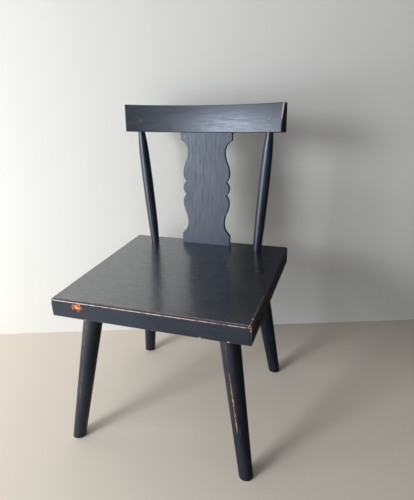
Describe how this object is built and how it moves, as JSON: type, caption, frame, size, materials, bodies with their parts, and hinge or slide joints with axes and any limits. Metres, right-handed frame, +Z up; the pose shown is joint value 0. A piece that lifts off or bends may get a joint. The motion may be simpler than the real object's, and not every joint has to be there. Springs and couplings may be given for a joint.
{
  "type": "windsor chair",
  "caption": "Painted wooden side chair with a thick plank seat, splayed tapered legs, turned spindles, a scalloped splat and a curved crest rail.",
  "frame": {"origin": "on the floor, under the middle of the chair's bounding box", "axes": "+Z up, the chair's front towards -Y, +X to the right as one looks at the chair's front"},
  "size_m": [0.5336, 0.5446, 0.8884],
  "materials": {
    "slate_paint": "satin paint, worn through to the wood along the edges"
  },
  "bodies": {
    "root": {"seat": "slate_paint", "leg_front_left": "slate_paint", "leg_front_right": "slate_paint", "leg_back_left": "slate_paint", "leg_back_right": "slate_paint", "spindle_left": "slate_paint", "spindle_right": "slate_paint", "splat": "slate_paint", "crest_rail": "slate_paint", "crest_peg_left": "slate_paint", "crest_peg_right": "slate_paint"}
  },
  "joints": []
}
